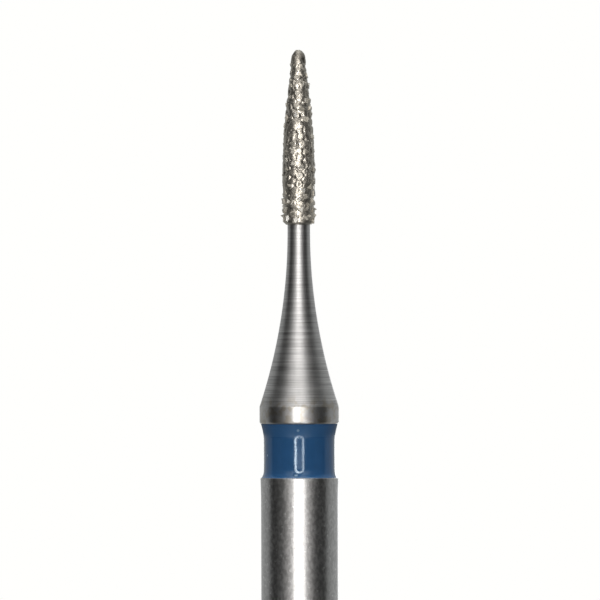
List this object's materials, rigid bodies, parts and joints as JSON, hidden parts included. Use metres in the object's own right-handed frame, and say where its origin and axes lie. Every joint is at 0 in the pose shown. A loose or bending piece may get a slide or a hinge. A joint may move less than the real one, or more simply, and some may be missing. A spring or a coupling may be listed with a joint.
{
  "type": "dental bur",
  "caption": "Friction-grip dental bur: a turned steel shank, collar and slender neck with a flame-shaped head of diamond grit bonded in nickel, and a blue lacquer colour ring.",
  "frame": {"origin": "centre of the flat back end of the shank", "axes": "+Z along the bur's axis from the back end of the shank to the tip; X and Y are alike, because the bur is turned"},
  "size_m": [0.0016, 0.0016, 0.019],
  "materials": {
    "tool_steel": "turned neck, ground bright shank",
    "nickel": "electroplated nickel, satin",
    "diamond": "bright crystal faces, olive grey",
    "lacquer": "gloss blue lacquer"
  },
  "bodies": {
    "root": {"steel_blank": "tool_steel", "colour_ring": "lacquer", "nickel_bond": "nickel", "diamond_grains": "diamond"}
  },
  "joints": []
}
